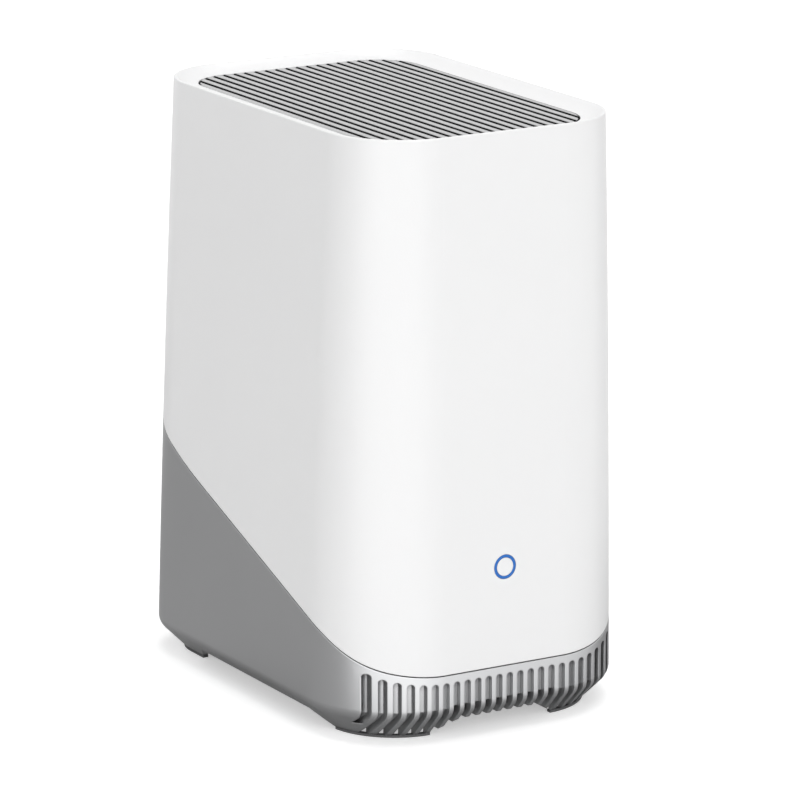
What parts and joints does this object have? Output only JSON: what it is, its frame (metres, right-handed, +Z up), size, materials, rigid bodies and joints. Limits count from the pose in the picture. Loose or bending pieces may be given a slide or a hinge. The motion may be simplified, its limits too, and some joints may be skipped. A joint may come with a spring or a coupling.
{
  "type": "security camera base station",
  "caption": "Tall base station for wireless security cameras: white shell with slatted air grille, grey slotted base on four feet, light ring, fan and pull-out drive tray",
  "frame": {"origin": "on the supporting surface, under the middle of the body's bounding box", "axes": "+Z up, -Y towards the front with the status ring, +X to the right as seen from the front"},
  "size_m": [0.1056, 0.1476, 0.19],
  "materials": {
    "shell": "satin moulded white",
    "grille": "satin moulded white",
    "base": "satin silver-grey",
    "button": "satin grey",
    "pads": "matte black rubber",
    "foam": "black open-cell foam",
    "light": "lit blue diffuser",
    "led": "clear yellowish cast resin",
    "board": "green solder mask",
    "inner_plastic": "fine-grained dark grey",
    "black_plastic": "black moulded",
    "sheet_steel": "zinc-plated sheet",
    "socket_metal": "tinned sheet",
    "sink_metal": "plain extruded",
    "screws": "zinc-plated",
    "copper": "wound copper wire"
  },
  "bodies": {
    "housing": {"base_chassis": "base", "foot_pads": "pads", "outer_shell": "shell", "top_grille": "grille", "dust_filter": "foam", "ring_light_guide": "light", "ring_centre_cap": "shell", "status_board": "board", "status_leds": "led", "status_board_screws": "screws", "bottom_cover": "inner_plastic", "cover_screws": "screws", "inner_frame": "inner_plastic", "board_carrier": "inner_plastic", "main_board": "board", "board_screws": "screws", "drive_cage": "sheet_steel", "drive_board": "board", "drive_socket": "black_plastic", "dc_jack": "black_plastic", "usb_socket": "socket_metal", "ethernet_socket": "socket_metal", "reset_switch": "black_plastic", "sync_switch": "black_plastic", "processor_package": "black_plastic", "thermal_pad": "pads", "heat_sink": "sink_metal", "memory_packages": "black_plastic", "shield_can": "socket_metal", "speaker_box": "black_plastic", "speaker": "pads", "antennas": "board", "fan_frame": "black_plastic", "fan_stator": "copper", "fan_screws": "screws"},
    "tray": {"drive_tray": "inner_plastic"},
    "tray_fastener": {"tray_screw": "screws"},
    "sync_key": {"sync_button": "button"},
    "reset_key": {"reset_plunger": "inner_plastic"},
    "rotor": {"fan_rotor": "black_plastic"}
  },
  "joints": [
    {"name": "tray_slide", "type": "slide", "parent": "housing", "child": "tray", "axis": [0, 0, -1], "range_m": [0, 0.104]},
    {"name": "tray_fastener_turn", "type": "hinge", "parent": "tray", "child": "tray_fastener", "pos_m": [-0.024, -0.04247, 0.0068], "axis": [0, 0, 1], "continuous": true},
    {"name": "sync_press", "type": "slide", "parent": "housing", "child": "sync_key", "axis": [0, -1, 0], "range_m": [0, 0.0005], "stiffness_N_per_m": 2000},
    {"name": "reset_press", "type": "slide", "parent": "housing", "child": "reset_key", "axis": [0, -1, 0], "range_m": [0, 0.00025], "stiffness_N_per_m": 3000},
    {"name": "fan_spin", "type": "hinge", "parent": "housing", "child": "rotor", "pos_m": [0, -0.002, 0.168], "axis": [0, 0, 1], "continuous": true}
  ]
}
